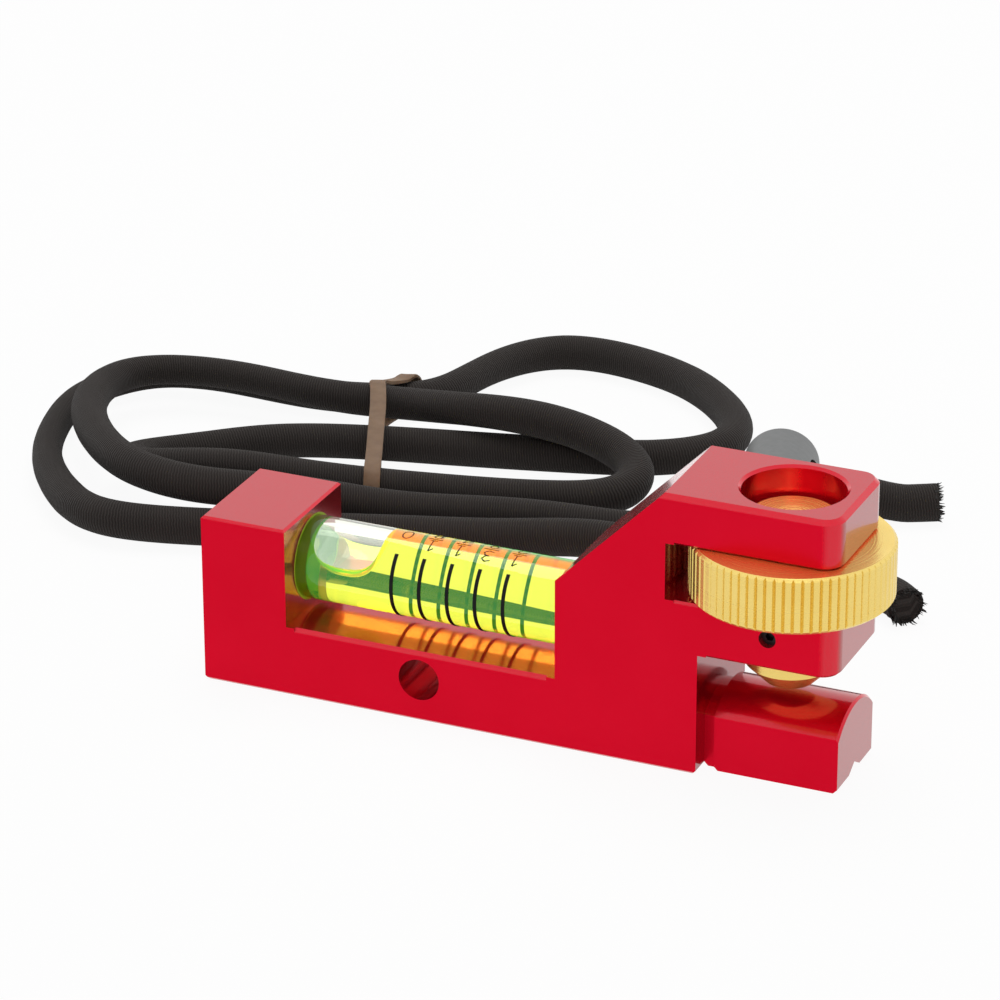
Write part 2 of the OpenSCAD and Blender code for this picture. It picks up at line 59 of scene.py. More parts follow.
# The shock cord: strands of rubber in a black braided sheath, 5.6 mm thick and 0.8 m long.
# It lies on the floor in flat loops, thinner where it is pulled and thicker at its bends,
# and both of its ends are cut off bare.
CORD_D = 0.0056
CORD_POINTS = [
    (0.037, 0.049, 0.0028), (0.0335, 0.0525, 0.0028), (0.026, 0.0535, 0.0028),
    (0.018, 0.048, 0.0028), (0.0095, 0.0445, 0.0048), (-0.002, 0.045, 0.007),
    (-0.014, 0.0455, 0.0068), (-0.0275, 0.0445, 0.0042), (-0.042, 0.042, 0.0034),
    (-0.057, 0.0375, 0.003), (-0.071, 0.033, 0.003), (-0.0875, 0.026, 0.004),
    (-0.0975, 0.033, 0.0034), (-0.108, 0.045, 0.0034), (-0.113, 0.058, 0.003),
    (-0.115, 0.0675, 0.0032), (-0.1145, 0.076, 0.0028), (-0.1085, 0.084, 0.0038),
    (-0.097, 0.087, 0.004), (-0.0805, 0.087, 0.0028), (-0.0675, 0.089, 0.0034),
    (-0.0595, 0.095, 0.0032), (-0.058, 0.1095, 0.0034), (-0.0495, 0.123, 0.0032),
    (-0.032, 0.1205, 0.003), (-0.0215, 0.1155, 0.0028), (-0.01, 0.1035, 0.003),
    (-0.009, 0.093, 0.0028), (-0.017, 0.0855, 0.0028), (-0.0305, 0.0805, 0.0032),
    (-0.0475, 0.077, 0.0028), (-0.063, 0.0725, 0.0032), (-0.0765, 0.066, 0.004),
    (-0.086, 0.0595, 0.0032), (-0.093, 0.055, 0.0028), (-0.0945, 0.0485, 0.0042),
    (-0.089, 0.0425, 0.0062), (-0.0755, 0.0455, 0.008), (-0.064, 0.0495, 0.006),
    (-0.053, 0.0535, 0.0048), (-0.0395, 0.0575, 0.0042), (-0.0265, 0.059, 0.005),
    (-0.015, 0.064, 0.005), (-0.015, 0.074, 0.0064), (-0.027, 0.079, 0.0086),
    (-0.04, 0.079, 0.0096), (-0.0515, 0.0795, 0.0084), (-0.065, 0.084, 0.0054),
    (-0.075, 0.0805, 0.0062), (-0.09, 0.0825, 0.0066), (-0.1065, 0.0785, 0.0072),
    (-0.1105, 0.068, 0.007), (-0.1045, 0.0525, 0.0084), (-0.089, 0.035, 0.0098),
    (-0.0755, 0.035, 0.0084), (-0.065, 0.0405, 0.0074), (-0.056, 0.045, 0.0056),
    (-0.046, 0.049, 0.0036), (-0.033, 0.0515, 0.0046), (-0.0205, 0.0525, 0.0054),
    (-0.01, 0.0535, 0.005), (-0.005, 0.0605, 0.0034), (-0.0065, 0.069, 0.0032),
    (-0.001, 0.0765, 0.006), (0.0055, 0.0785, 0.006), (0.012, 0.0805, 0.006),
    (0.0185, 0.082, 0.0044), (0.024, 0.084, 0.0028), (0.0295, 0.087, 0.0028)]
# Thickness against the usual one at some of these points: pulled thin, or slack and thick
CORD_SWELL = [(0, 1.05), (5, 1.06), (9, 1.06), (12, 1.04), (13.5, 0.86), (16, 0.84),
              (17.5, 0.93), (22, 0.93), (23.5, 1.04), (32, 1.03), (34, 0.99), (36, 0.99),
              (38.5, 1.05), (41, 1.06), (46, 1.06), (47.2, 0.96), (49, 0.95), (50, 0.88),
              (52, 0.88), (53.5, 1.04), (60, 1.04), (62, 1.0), (64, 0.98), (66, 1.03),
              (68, 1.08)]
RING_SPACING = 0.0009
CORD_SIDES = 28
# The braid: ribs round the cord, a little aslant, that lean to and fro between yarns
RIB_PITCH = 0.00043
RIB_SLANT = 5
CHEVRONS = 14
CHEVRON_LEAN = 0.4
# The cut yarns at its ends, and how much of each is inside the sheath
FRAY_THREADS = 110
THREAD_HIDDEN = 0.0006


class Wire:
    """An output of a material's nodes. Python's operators on it add Math nodes."""

    def __init__(self, finish, socket):
        self.finish = finish
        self.socket = socket

    def math(self, operation, *others):
        inputs = dict(enumerate((self, *others)))
        return self.finish.node("Math", {"operation": operation}, inputs)

    def __add__(self, other):
        return self.math("ADD", other)

    def __sub__(self, other):
        return self.math("SUBTRACT", other)

    def __rsub__(self, other):
        return self.finish.node("Math", {"operation": "SUBTRACT"}, {0: other, 1: self})

    def __mul__(self, other):
        return self.math("MULTIPLY", other)

    def __truediv__(self, other):
        return self.math("DIVIDE", other)

    __radd__ = __add__
    __rmul__ = __mul__


class Finish:
    """A material, its shader and the nodes that feed it."""

    def __init__(self, name, **constants):
        self.material = bpy.data.materials.new(name)
        self.material.use_nodes = True
        self.tree = self.material.node_tree
        self.shader = self.tree.nodes["Principled BSDF"]
        for socket, value in constants.items():
            self.shader.inputs[socket.replace("_", " ")].default_value = value

    def node(self, kind, settings=None, inputs=None, output=0):
        """Adds a node, sets it up, fills its sockets with values or wires, returns an output."""
        made = self.tree.nodes.new("ShaderNode" + kind)
        for name, value in (settings or {}).items():
            setattr(made, name, value)
        for name, value in (inputs or {}).items():
            self.feed(made.inputs[name], value)
        return Wire(self, made.outputs[output])

    def feed(self, socket, value):
        if isinstance(value, Wire):
            self.tree.links.new(value.socket, socket)
        else:
            socket.default_value = value

    def wear(self, socket, value):
        """Feeds one of the shader's own sockets."""
        self.feed(self.shader.inputs[socket], value)

    def bump(self, height, distance):
        """Raises the surface by a distance in metres where the height is 1."""
        self.wear("Normal", self.node("Bump", None, {"Height": height, "Distance": distance}))

    def mix(self, share, first, second):
        """A colour between two, each given as a wire or as red, green and blue."""
        ends = [c if isinstance(c, Wire) else (*c, 1) for c in (first, second)]
        return self.node("Mix", {"data_type": "RGBA"}, {0: share, 6: ends[0], 7: ends[1]}, 2)

    def place(self):
        """Where a point of the surface is, in metres."""
        return self.node("TexCoord", None, None, "Object")

    def noise(self, scale, detail):
        """Soft noise, from 0 to 1, with a number of waves to the metre."""
        place = self.place()
        return self.node("TexNoise", None, {"Vector": place, "Scale": scale, "Detail": detail})

    def clouds(self, scale, dark, light, detail=3.0):
        """Gives it clouds of two close shades, and returns them."""
        cloud = self.noise(scale, detail)
        self.wear("Base Color", self.mix(cloud, dark, light))
        return cloud

    def split(self, vector):
        """The three parts of a vector."""
        parts = self.node("SeparateXYZ", None, {0: vector}).socket.node.outputs
        return [Wire(self, part) for part in parts]


CREASE = 0.7


def new_piece(name, points, faces, finish, smooth=True):
    """Makes a mesh object with a finish on it, smooth but where it turns by a CREASE."""
    mesh = bpy.data.meshes.new(name)
    mesh.from_pydata([tuple(p) for p in points], [], faces)
    mesh.polygons.foreach_set("use_smooth", [smooth] * len(mesh.polygons))
    mesh.materials.append(finish.material)
    skin = bmesh.new()
    skin.from_mesh(mesh)
    bmesh.ops.recalc_face_normals(skin, faces=skin.faces)
    for edge in skin.edges:
        edge.smooth = len(edge.link_faces) < 2 or edge.calc_face_angle() < CREASE
    skin.to_mesh(mesh)
    skin.free()
    piece = bpy.data.objects.new(name, mesh)
    bpy.context.scene.collection.objects.link(piece)
    return piece


def spline(points, share):
    """A point of the smooth curve that the control points draw, at a share of the way."""
    ends = [points[0] * 2 - points[1], *points, points[-1] * 2 - points[-2]]
    along = min(share, 0.999999) * (len(points) - 1)
    i = int(along)
    t = along - i
    a, b, c, d = ends[i:i + 4]
    return (a * (1 - t) ** 3 + b * (3 * t ** 3 - 6 * t ** 2 + 4)
            + c * (1 + 3 * t + 3 * t ** 2 - 3 * t ** 3) + d * t ** 3) / 6


def between(stops, place):
    """Straight interpolation in a list of (place, value)."""
    for (p0, v0), (p1, v1) in zip(stops, stops[1:]):
        if place <= p1:
            return v0 + (v1 - v0) * max(0.0, (place - p0) / (p1 - p0))
    return stops[-1][1]


def evenly(points, spacing):
    """Points a set distance apart along a line of points, with how far along each one is."""
    out, travelled, due = [(points[0], 0.0)], 0.0, spacing
    for a, b in zip(points, points[1:]):
        step = (b - a).length
        while travelled + step >= due:
            out.append((a.lerp(b, (due - travelled) / step), due))
            due += spacing
        travelled += step
    return out


# Rings of the tube along the route, each as thick as the cord is there
FINE_STEPS = 8000
control = [Vector(p) for p in CORD_POINTS]
fine = [spline(control, i / FINE_STEPS) for i in range(FINE_STEPS + 1)]
total = sum((b - a).length for a, b in zip(fine, fine[1:]))
cord_path, cord_radii = [], []
for point, along in evenly(fine, RING_SPACING):
    radius = CORD_D / 2 * between(CORD_SWELL, along / total * (len(control) - 1))
    point = point.copy()
    point.z = max(point.z, radius)
    cord_path.append(point)
    cord_radii.append(radius)


def tube(name, path, radii, sides, finish):
    """A round tube along a path, with a map: once round it, and metres along it."""
    points, faces, along = [], [], [0.0]
    for a, b in zip(path, path[1:]):
        along.append(along[-1] + (b - a).length)
    for i, (centre, radius) in enumerate(zip(path, radii)):
        ahead = (path[min(i + 1, len(path) - 1)] - path[max(i - 1, 0)]).normalized()
        side = ahead.cross(Vector((0, 0, 1))).normalized()
        up = side.cross(ahead)
        for k in range(sides):
            turn = 2 * math.pi * k / sides
            points.append(centre + (side * math.cos(turn) + up * math.sin(turn)) * radius)
    for i in range(len(path) - 1):
        for k in range(sides):
            after = (k + 1) % sides
            faces.append((i * sides + k, i * sides + after,
                          (i + 1) * sides + after, (i + 1) * sides + k))
    last = (len(path) - 1) * sides
    faces.append(tuple(range(sides))[::-1])
    faces.append(tuple(last + k for k in range(sides)))
    piece = new_piece(name, points, faces, finish)
    layer = piece.data.uv_layers.new(name="wound")
    for face in piece.data.polygons:
        for loop in face.loop_indices:
            vertex = piece.data.loops[loop].vertex_index
            ring, k = divmod(vertex, sides)
            wraps = face.index < last and face.index % sides == sides - 1
            u = 1.0 if wraps and k == 0 else k / sides
            layer.data[loop].uv = (u, along[ring])
    return piece


braid = Finish("braided_cord", Roughness=0.85, Specular_IOR_Level=0.12, Sheen_Weight=0.08,
               Sheen_Roughness=0.5)
around, lengthwise, _ = braid.split(braid.node("UVMap", {"uv_map": "wound"}))
chevron = (around * CHEVRONS).math("PINGPONG", 0.5)
turns = lengthwise / RIB_PITCH + around * RIB_SLANT + chevron * CHEVRON_LEAN
rib = (turns * (2 * math.pi)).math("SINE") * 0.5 + 0.5
fuzz = braid.noise(2600.0, 3.0)
patches = braid.noise(160.0, 2.0)
yarn = braid.mix(rib, (0.013, 0.0105, 0.0095), (0.046, 0.040, 0.037))
braid.wear("Base Color", braid.mix(patches * 0.5, yarn, (0.046, 0.038, 0.034)))
braid.bump(rib * 0.8 + fuzz * 0.5, 0.00012)

cord = tube("shock_cord_braid", cord_path, cord_radii, CORD_SIDES, braid)
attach(cord, "level")
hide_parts("shock_cord")


def fray(name, end, ahead, radius, seed, longest):
    """Cut yarns of the sheath that stand out round an end of the cord, one mesh."""
    draw = random.Random(seed)
    side = ahead.cross(Vector((0, 0, 1))).normalized()
    up = side.cross(ahead)
    points, faces = [], []
    for _ in range(FRAY_THREADS):
        turn = draw.uniform(0, 2 * math.pi)
        out = side * math.cos(turn) + up * math.sin(turn)
        reach = draw.uniform(0.35, 1.0) ** 2 * longest
        start = end + out * radius * draw.uniform(0.72, 0.97) - ahead * THREAD_HIDDEN
        bend = (out * draw.uniform(-0.2, 0.7) + side * draw.uniform(-0.4, 0.4)) * reach
        thick = draw.uniform(0.00012, 0.00034)
        base = len(points)
        for j in range(4):
            t = j / 3
            centre = start + ahead * (reach + THREAD_HIDDEN) * t + bend * t * t
            centre.z = max(centre.z, thick)
            for k in range(4):
                a = math.pi / 2 * k
                rim = (side * math.cos(a) + up * math.sin(a)) * thick
                points.append(centre + rim * (1.2 - t))
        for j in range(3):
            for k in range(4):
                n = (k + 1) % 4
                faces.append((base + j * 4 + k, base + j * 4 + n,
                              base + j * 4 + 4 + n, base + j * 4 + 4 + k))
    return new_piece(name, points, faces, loose_yarn)


loose_yarn = Finish("loose_yarn", Roughness=0.9)
loose_yarn.clouds(3000.0, (0.012, 0.011, 0.010), (0.03, 0.028, 0.027))
fray_1 = fray("cord_fray_right", cord_path[-1], (cord_path[-1] - cord_path[-4]).normalized(),
              cord_radii[-1], 5, 0.0010)
fray_2 = fray("cord_fray_left", cord_path[0], (cord_path[0] - cord_path[3]).normalized(),
              cord_radii[0], 8, 0.0014)
for ends in (fray_1, fray_2):
    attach(ends, "level")


# The rubber band: a flat loop of thin brown rubber, 2.6 mm wide. It goes over and under the
# back four strands of the cord, and is pulled taut between them.
BAND_W = 0.0026
BAND_T = 0.0007
BAND_POINTS = [
    (-0.0520, 0.0515, 0.0004), (-0.0520, 0.0502, 0.0012), (-0.0520, 0.0499, 0.0032),
    (-0.0520, 0.0499, 0.0052), (-0.0523, 0.0509, 0.0073), (-0.0530, 0.0526, 0.0083),
    (-0.0549, 0.0573, 0.0085), (-0.0587, 0.0662, 0.0087), (-0.0620, 0.0740, 0.0089),
    (-0.0650, 0.0805, 0.0091), (-0.0664, 0.0834, 0.0089), (-0.0664, 0.0864, 0.0077),
    (-0.0657, 0.0903, 0.0067), (-0.0654, 0.0932, 0.0064), (-0.0655, 0.0955, 0.0046),
    (-0.0655, 0.0959, 0.0022), (-0.0659, 0.0945, 0.0005), (-0.0670, 0.0838, 0.0004),
    (-0.0617, 0.0714, 0.0004), (-0.0561, 0.0595, 0.0004)]
BAND_ACROSS = Vector((0.929, 0.370, 0))
BAND_STEPS = 160
# Its section, as shares of its width and its thickness
BAND_SECTION = [(-0.5, -0.3), (-0.42, -0.5), (0.42, -0.5), (0.5, -0.3),
                (0.5, 0.3), (0.42, 0.5), (-0.42, 0.5), (-0.5, 0.3)]


def closed_spline(points, share):
    """A point of the smooth closed curve through the points, at a share of the way."""
    n = len(points)
    along = share * n
    i = int(along) % n
    t = along - int(along)
    a, b, c, d = (points[(i + k) % n] for k in (-1, 0, 1, 2))
    return ((b * 2 + (c - a) * t + (a * 2 - b * 5 + c * 4 - d) * t ** 2
             + (b * 3 - a - c * 3 + d) * t ** 3) / 2)


rubber = Finish("band_rubber", Roughness=0.6, Specular_IOR_Level=0.35, Subsurface_Weight=0.25,
                Subsurface_Radius=(0.6, 0.3, 0.1), Subsurface_Scale=0.001)
dust = rubber.clouds(420.0, (0.13, 0.068, 0.032), (0.26, 0.165, 0.10), detail=4.0)
rubber.bump(dust, 0.00008)

band_control = [Vector(p) for p in BAND_POINTS]
band_line = [closed_spline(band_control, i / BAND_STEPS) for i in range(BAND_STEPS)]
points, faces = [], []
for i, centre in enumerate(band_line):
    ahead = (band_line[(i + 1) % BAND_STEPS] - band_line[i - 1]).normalized()
    out = BAND_ACROSS.cross(ahead).normalized()
    across = ahead.cross(out).normalized()
    for w, t in BAND_SECTION:
        point = centre + across * w * BAND_W + out * t * BAND_T
        point.z = max(point.z, 0.00002)
        points.append(point)
corners = len(BAND_SECTION)
for i in range(BAND_STEPS):
    n = (i + 1) % BAND_STEPS
    for k in range(corners):
        after = (k + 1) % corners
        faces.append((i * corners + k, i * corners + after,
                      n * corners + after, n * corners + k))
band = new_piece("rubber_band", points, faces, rubber)
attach(band, "level")
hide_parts("hank_band")


# The cord lock: a moulded grey barrel with a round end, its plunger of the same plastic and
# the bright steel spring between them. The cord goes through both.
def dress(node, finish):
    """Gives a piece of the construction its finish."""
    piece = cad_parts[node]
    piece.data.materials.clear()
    piece.data.materials.append(finish.material)


grey = Finish("lock_plastic", Roughness=0.42, Specular_IOR_Level=0.45)
mould = grey.clouds(900.0, (0.135, 0.14, 0.14), (0.18, 0.185, 0.185))
grey.bump(mould, 0.00004)
dress("cord_lock_barrel", grey)
dress("cord_lock_plunger", grey)
wire = Finish("spring_wire", Metallic=1.0)
drawn = wire.clouds(1500.0, (0.54, 0.54, 0.53), (0.66, 0.66, 0.66))
wire.wear("Roughness", drawn * 0.15 + 0.22)
dress("cord_lock_spring", wire)


# The bar and the plug of its left bore: milled aluminium, bright dipped and anodised red. The
# clear oxide over the dyed metal is a thin coat with the dip's fine grain. Painted shade makes
# the red darker on the tops and on the window's and slot's ends, and a painted reflection makes
# it paler on the right end.
red = Finish("red_anodised", Metallic=0.62, Specular_IOR_Level=0.0, Coat_Roughness=0.1,
             Coat_IOR=1.43)


def from_to(value, low, high):
    """A mask that is 0 where the value is low and 1 where it is high."""
    return red.node("MapRange", None, {0: value, 1: low, 2: high})


endways, sideways, upward = red.split(red.node("TexCoord", None, None, "Normal"))
flank = from_to(sideways * sideways, 0.80, 0.97)
on_end = from_to(endways * endways, 0.80, 0.97)
on_top = from_to(upward, 0.90, 0.99)
# The right ends of the arms and the foot, which a painted reflection makes paler
painted_reflection_end = on_end * from_to(red.split(red.place())[0], 0.044, 0.045)
grain = red.noise(5200.0, 2.0)
dye_and_painted_shade = red.mix(red.noise(90.0, 3.0), (0.74, 0.003, 0.022), (0.80, 0.005, 0.028))
# Painted shade: end faces, such as the window's and slot's ends, are darkened, but not the right
# ends
dye_and_painted_shade = red.mix((on_end - painted_reflection_end) * 0.7, dye_and_painted_shade, (0.14, 0.0, 0.002))
# Painted shade: the tops are darkened
dye_and_painted_shade = red.mix(on_top * 0.6, dye_and_painted_shade, (0.46, 0.0, 0.012))
# Painted reflection: the right ends are made a paler, greyish pink
red.wear("Base Color", red.mix(painted_reflection_end * 0.8, dye_and_painted_shade, (0.40, 0.09, 0.085)))
red.wear("Roughness", grain * 0.08 + flank * 0.12 + 0.14)
red.wear("Coat Weight", 1.0 - flank * 0.96)
red.bump(grain, 0.000012)
dress("body", red)
dress("vial_bore_plug", red)


# The key screw: a small dog-point set screw of blackened steel, turned into the middle arm
# until its point runs in the stud's keyway.
steel = Finish("black_oxide", Metallic=1.0)
oxide = steel.clouds(2500.0, (0.022, 0.022, 0.024), (0.04, 0.04, 0.042))
steel.wear("Roughness", oxide * 0.2 + 0.3)
dress("key_screw", steel)


# The clamp screw: a knurled wheel and its stud, both turned from bright brass. The turning
# leaves rings on flat faces and lines round the stud.
low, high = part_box("clamp_stud")
SCREW_AXIS = ((low.x + high.x) / 2, (low.y + high.y) / 2, 0)


def turned_brass(name, rings_per_m, ring_depth):
    """Brass with the turning's rings about the screw's axis."""
    brass = Finish(name, Metallic=0.82, Specular_IOR_Level=0.0)
    off_axis = brass.node("VectorMath", {"operation": "SUBTRACT"},
                          {0: brass.place(), 1: SCREW_AXIS})
    x, y, height = brass.split(off_axis)
    radius = (x * x + y * y).math("SQRT")
    marks = brass.node("TexNoise", {"noise_dimensions": "2D"}, {
        "Vector": brass.node("CombineXYZ", None, {0: radius, 1: height}),
        "Scale": rings_per_m, "Detail": 3.0})
    brass.clouds(140.0, (0.90, 0.64, 0.16), (0.97, 0.76, 0.26))
    brass.wear("Roughness", marks * 0.16 + 0.17)
    brass.bump(marks, ring_depth)
    return brass


dress("thumbwheel", turned_brass("wheel_brass", 4200.0, 0.00003))
dress("clamp_stud", turned_brass("stud_brass", 3600.0, 0.00004))


# The vial's glass: a clear acrylic tube, polished, with a plug of the same stuck in its left
# end. It lies in the bores on both sides of the window, bedded in a yellow-green compound
# that shows through it. The tube stands for the right plug too, which isn't seen.
low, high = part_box("vial_tube")
VIAL_AXIS = Vector((0, (low.y + high.y) / 2, (low.z + high.z) / 2))
VIAL_X0, VIAL_X1 = low.x, high.x
VIAL_R = (high.z - low.z) / 2
TUBE_WALL = 0.0014
CHAMBER_R = VIAL_R - TUBE_WALL
CHAMBER_X0, CHAMBER_X1 = (corner.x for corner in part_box("vial_liquid"))
TUBE_SIDES = 128
ACRYLIC_IOR = 1.49
# Against the tube's own, so that little more than the film of glue round the plug shows
PLUG_IOR = 1.04
POLISHED_EDGE = 0.0004


def turned(name, profile, sides, finish, reshape=None):
    """A solid of revolution about the vial's axis: profile is (x, radius) from end to end."""
    points, faces = [], []
    for x, radius in profile:
        for k in range(sides):
            turn = 2 * math.pi * k / sides
            y, z = radius * math.cos(turn), radius * math.sin(turn)
            if reshape:
                z = reshape(x, y, z)
            points.append((x, VIAL_AXIS.y + y, VIAL_AXIS.z + z))
    for i in range(len(profile) - 1):
        for k in range(sides):
            n = (k + 1) % sides
            faces.append((i * sides + k, (i + 1) * sides + k,
                          (i + 1) * sides + n, i * sides + n))
    last = (len(profile) - 1) * sides
    faces.append(tuple(range(sides)))
    faces.append(tuple(last + k for k in range(sides))[::-1])
    return new_piece(name, points, faces, finish)


def rounded_ends(x0, x1, radius, edge, steps=8):
    """Profile of a rod whose two end edges are rounded."""
    turns = [math.pi / 2 * i / steps for i in range(steps + 1)]
    left = [(x0 + edge * (1 - math.sin(t)), radius - edge * (1 - math.cos(t)))
            for t in reversed(turns)]
    right = [(x1 - edge * (1 - math.sin(t)), radius - edge * (1 - math.cos(t))) for t in turns]
    return left + right


compound = Finish("setting_compound", Roughness=0.5)
lumps = compound.clouds(700.0, (0.38, 0.52, 0.016), (0.46, 0.60, 0.024))
compound.bump(lumps, 0.00005)
dress("vial_bedding", compound)

acrylic = Finish("clear_acrylic", Roughness=0.0, Transmission_Weight=1.0, IOR=ACRYLIC_IOR)
acrylic.clouds(120.0, (0.95, 1.0, 0.84), (0.97, 1.0, 0.88))
tube_piece = turned("vial_tube_clear", rounded_ends(VIAL_X0, VIAL_X1, VIAL_R, 0.0003),
                    TUBE_SIDES, acrylic)
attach(tube_piece, "level")
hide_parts("vial_tube", "vial_plug_right")

plug = Finish("plug_acrylic", Roughness=0.0, Transmission_Weight=1.0, IOR=PLUG_IOR)
plug.clouds(120.0, (0.94, 1.0, 0.78), (0.96, 1.0, 0.82))
plug_piece = turned("vial_plug_clear",
                    rounded_ends(VIAL_X0 + 0.0002, CHAMBER_X0 - 0.0001, CHAMBER_R,
                                 POLISHED_EDGE),
                    TUBE_SIDES, plug)
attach(plug_piece, "level")
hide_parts("vial_plug_left")


# The liquid: a yellow spirit that glows a little green, and fills the chamber but for the
# bubble. The bubble lies against the top of the chamber, and the liquid is dented under it.
# Both lie inside the tube's mesh, so their indices are against acrylic.
LIQUID_IOR = 1.44
LIQUID_SIDES = 288
DENT_RINGS = 90
BUBBLE_RINGS, BUBBLE_SIDES = 60, 96
BUBBLE_X0 = CHAMBER_X0 + 0.0006
BUBBLE_L = 0.0104
BUBBLE_DEPTH = 0.0056
BUBBLE_R = CHAMBER_R - 0.00001
BUBBLE_SQUARENESS = 2.6
EDGE_SHARE = 0.62
FILM = 0.00003


def bubble_section(x):
    """Half width of the bubble at x, the height of its edge and the depth of its belly."""
    lean = min(abs(2 * (x - BUBBLE_X0) / BUBBLE_L - 1), 1.0)
    depth = BUBBLE_DEPTH * (1 - lean ** BUBBLE_SQUARENESS) ** (1 / BUBBLE_SQUARENESS)
    edge = BUBBLE_R - depth * EDGE_SHARE
    return math.sqrt(max(BUBBLE_R ** 2 - edge ** 2, 0)), edge, depth * (1 - EDGE_SHARE)


def belly(x, y):
    """Height of the bubble's underside."""
    half, edge, deep = bubble_section(x)
    return edge - deep * math.sqrt(max(0.0, 1 - (y / half) ** 2)) if half > 1e-6 else edge


def dented(x, y, z):
    """Moves a point of the liquid's skin down to just under the bubble, where that lies."""
    half, edge, deep = bubble_section(x)
    if z > edge - FILM and abs(y) < half:
        return min(z, belly(x, y) - FILM)
    return z


liquid = Finish("vial_liquid", Roughness=0.0, Transmission_Weight=1.0,
                IOR=LIQUID_IOR / ACRYLIC_IOR,
                Emission_Color=(0.06, 1.0, 0.12, 1), Emission_Strength=0.10)
liquid.clouds(120.0, (1.0, 0.85, 0.09), (1.0, 0.87, 0.11))
dent = [(BUBBLE_X0 + BUBBLE_L * (1 - math.cos(math.pi * i / DENT_RINGS)) / 2, CHAMBER_R)
        for i in range(DENT_RINGS + 1)]
profile = rounded_ends(CHAMBER_X0, CHAMBER_X1, CHAMBER_R, POLISHED_EDGE) + dent
profile.sort(key=lambda ring: ring[0])
liquid_piece = turned("vial_liquid_clear", profile, LIQUID_SIDES, liquid, dented)
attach(liquid_piece, "level")
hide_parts("vial_liquid")

# The bubble's air glows faintly white: a painted highlight that stands in for the lamp's
# reflection in it
air = Finish("vial_air", Base_Color=(1, 1, 1, 1), Roughness=0.0, Transmission_Weight=1.0,
             IOR=1 / ACRYLIC_IOR, Emission_Color=(1, 1, 1, 1), Emission_Strength=0.16)
points, faces = [], []
for i in range(BUBBLE_RINGS + 1):
    share = (i + 0.02) / (BUBBLE_RINGS + 0.04)
    x = BUBBLE_X0 + BUBBLE_L * (1 - math.cos(math.pi * share)) / 2
    half, edge, deep = bubble_section(x)
    for k in range(BUBBLE_SIDES):
        turn = 2 * math.pi * k / BUBBLE_SIDES
        y = half * math.sin(turn)
        z = math.sqrt(BUBBLE_R ** 2 - y ** 2) if math.cos(turn) > 0 else belly(x, y)
        points.append((x, VIAL_AXIS.y + y, VIAL_AXIS.z + z))
for i in range(BUBBLE_RINGS):
    ring, following = i * BUBBLE_SIDES, (i + 1) * BUBBLE_SIDES
    for k in range(BUBBLE_SIDES):
        after = (k + 1) % BUBBLE_SIDES
        faces.append((ring + k, ring + after, following + after, following + k))
faces.append(tuple(range(BUBBLE_SIDES)))
faces.append(tuple(BUBBLE_RINGS * BUBBLE_SIDES + k for k in range(BUBBLE_SIDES))[::-1])
bubble = new_piece("vial_bubble", points, faces, air)
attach(bubble, "level")


# The graduation: five rings printed in black on the outside of the tube, each with its slope
# in figures on top, which are read from behind. The figures are drawn with a pen, as lines
# on an oblong of one by one and a half.
ink = Finish("black_ink", Roughness=0.6, Specular_IOR_Level=0.2)
ink.clouds(4000.0, (0.002, 0.002, 0.002), (0.005, 0.005, 0.005))
dress("vial_graduations", ink)

STROKES = {
    "0": [[(0.5 + 0.42 * math.cos(a * math.pi / 12), 0.75 + 0.68 * math.sin(a * math.pi / 12))
           for a in range(25)]],
    "1": [[(0.25, 1.15), (0.55, 1.45), (0.55, 0.05)], [(0.25, 0.05), (0.85, 0.05)]],
    "2": [[(0.12, 1.1), (0.3, 1.4), (0.6, 1.45), (0.85, 1.2), (0.8, 0.9), (0.1, 0.05),
           (0.9, 0.05)]],
    "3": [[(0.12, 1.3), (0.5, 1.45), (0.82, 1.2), (0.65, 0.85), (0.35, 0.78), (0.7, 0.7),
           (0.88, 0.38), (0.55, 0.05), (0.1, 0.2)]],
    "4": [[(0.7, 0.05), (0.7, 1.45), (0.08, 0.5), (0.95, 0.5)]],
    "8": [[(0.5 + 0.33 * math.cos(a * math.pi / 10), 1.1 + 0.33 * math.sin(a * math.pi / 10))
           for a in range(21)],
          [(0.5 + 0.4 * math.cos(a * math.pi / 10), 0.41 + 0.36 * math.sin(a * math.pi / 10))
           for a in range(21)]]}
FIGURES = [("0",), ("1", "8"), ("1", "4"), ("3", "8"), ("1", "2")]
FIGURE_W = 0.0017
FIGURE_H = 1.5 * FIGURE_W
FIGURE_GAP = 0.0004
PEN = 0.0001
PEN_STEP = 0.0002
INK_LIFT = 0.00003
RING_W = 0.00055
low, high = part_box("vial_graduations")
FIRST_RING = low.x + RING_W / 2
RING_PITCH = (high.x - low.x - RING_W) / (len(FIGURES) - 1)
points, faces = [], []


def pen_line(strokes, x, across):
    """Draws strokes on top of the tube; across is where their foot lies, towards the back."""
    for stroke in strokes:
        line = [Vector((x - (u - 0.5) * FIGURE_W, across - v * FIGURE_W, 0)) for u, v in stroke]
        line = [point for point, _ in evenly(line, PEN_STEP)] + [line[-1]]
        for a, b in zip(line, line[1:]):
            if (b - a).length < PEN_STEP / 100:
                continue
            ahead = (b - a).normalized() * PEN
            edge = Vector((-ahead.y, ahead.x, 0))
            base = len(points)
            for corner in (a - ahead + edge, b + ahead + edge, b + ahead - edge,
                           a - ahead - edge):
                turn = corner.y / VIAL_R
                radius = VIAL_R + INK_LIFT
                points.append((corner.x, VIAL_AXIS.y + radius * math.sin(turn),
                               VIAL_AXIS.z + radius * math.cos(turn)))
            faces.append((base, base + 1, base + 2, base + 3))


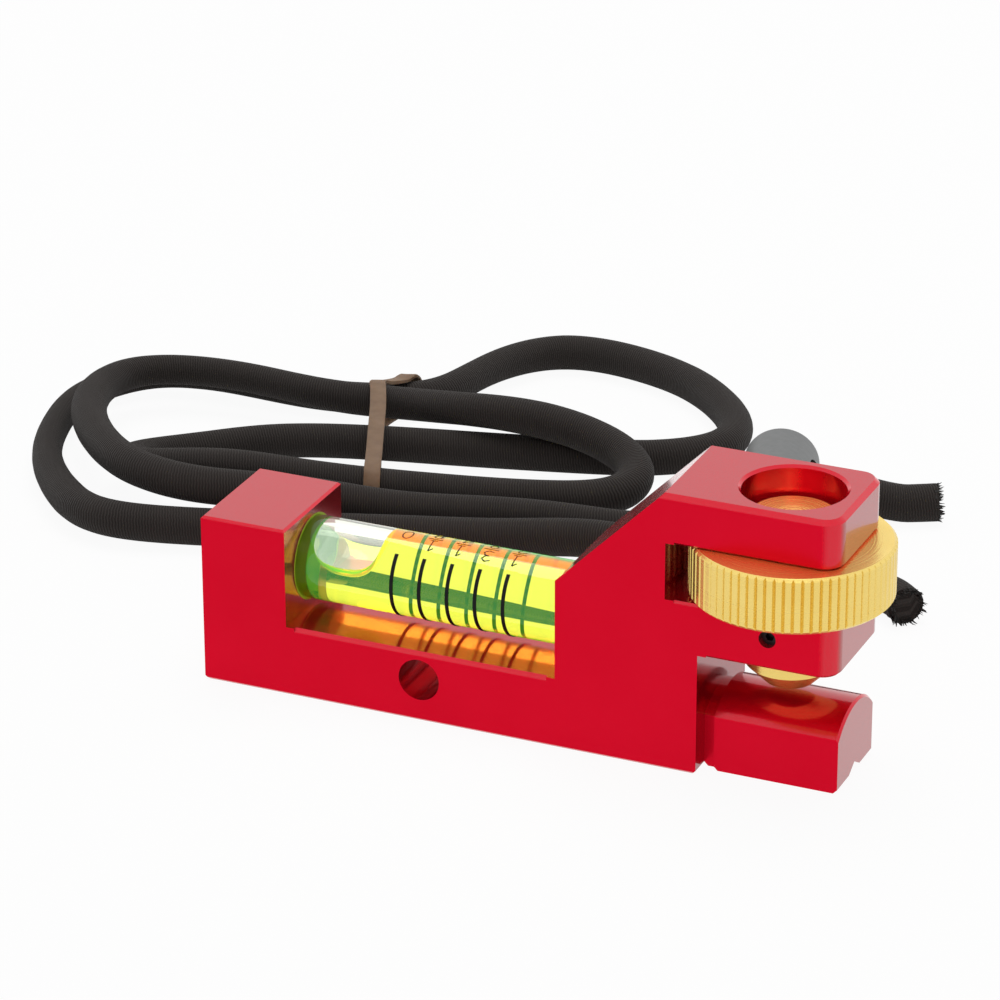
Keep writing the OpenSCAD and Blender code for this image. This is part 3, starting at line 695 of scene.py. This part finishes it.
for i, figure in enumerate(FIGURES):
    x = FIRST_RING + i * RING_PITCH
    if len(figure) == 1:
        pen_line(STROKES[figure[0]], x, FIGURE_H / 2)
    else:
        pen_line(STROKES[figure[0]], x, -FIGURE_GAP)
        pen_line([[(-0.1, 0), (1.1, 0)]], x, 0)
        pen_line(STROKES[figure[1]], x, FIGURE_GAP + FIGURE_H)
figures = new_piece("vial_figures", points, faces, ink, smooth=False)
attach(figures, "level")


# The floor and the light: a white sweep that is seen as plain white, also in metal and glass,
# under a large soft lamp overhead and a weaker one in front.
SHADOW_SHARE = 0.06


def seen_white(tree, lit, share):
    """Shows plain white in place of a lit surface to the camera, in metal and in glass."""
    rays = tree.node("LightPath", None, None, "Is Camera Ray")
    for kind in ("Is Glossy Ray", "Is Transmission Ray"):
        rays = rays.math("MAXIMUM", tree.node("LightPath", None, None, kind))
    white = tree.node("Emission", None, {"Color": (1, 1, 1, 1), "Strength": 1.0})
    return tree.node("MixShader", None, {0: rays * share, 1: lit, 2: white})


ground = Finish("floor", Base_Color=(0.9, 0.9, 0.9, 1), Roughness=0.9, Specular_IOR_Level=0.1)
lit = Wire(ground, ground.shader.outputs[0])
shown = seen_white(ground, lit, 1 - SHADOW_SHARE)
ground.feed(ground.tree.nodes["Material Output"].inputs["Surface"], shown)
FAR = 3
floor = new_piece("floor", [(-FAR, -FAR, 0), (FAR, -FAR, 0), (FAR, FAR, 0), (-FAR, FAR, 0)],
                  [(0, 1, 2, 3)], ground, smooth=False)

SKY_LEVEL = 0.32
world = bpy.data.worlds.new("studio")
world.use_nodes = True
bpy.context.scene.world = world


class Sky(Finish):
    """The world's nodes, built in the same way as a material's."""

    def __init__(self, tree):
        self.tree = tree


sky = Sky(world.node_tree)
dim = sky.tree.nodes["Background"]
dim.inputs["Color"].default_value = (1, 1, 1, 1)
dim.inputs["Strength"].default_value = SKY_LEVEL
shown = seen_white(sky, Wire(sky, dim.outputs[0]), 1.0)
sky.feed(sky.tree.nodes["World Output"].inputs["Surface"], shown)


def soft_lamp(name, place, aim, size, power):
    """A square lamp of size by size metres."""
    lamp = bpy.data.objects.new(name, bpy.data.lights.new(name, "AREA"))
    lamp.data.shape = "SQUARE"
    lamp.data.size = size
    lamp.data.energy = power
    lamp.location = place
    lamp.rotation_euler = (Vector(aim) - Vector(place)).to_track_quat("-Z", "Y").to_euler()
    bpy.context.scene.collection.objects.link(lamp)


soft_lamp("top_lamp", (-0.05, 0.25, 0.9), (0, 0.03, 0), 0.7, 5.0)
soft_lamp("front_lamp", (0.4, -0.9, 0.9), (0, 0, 0), 0.6, 1.5)

bpy.context.scene.view_settings.view_transform = "Standard"
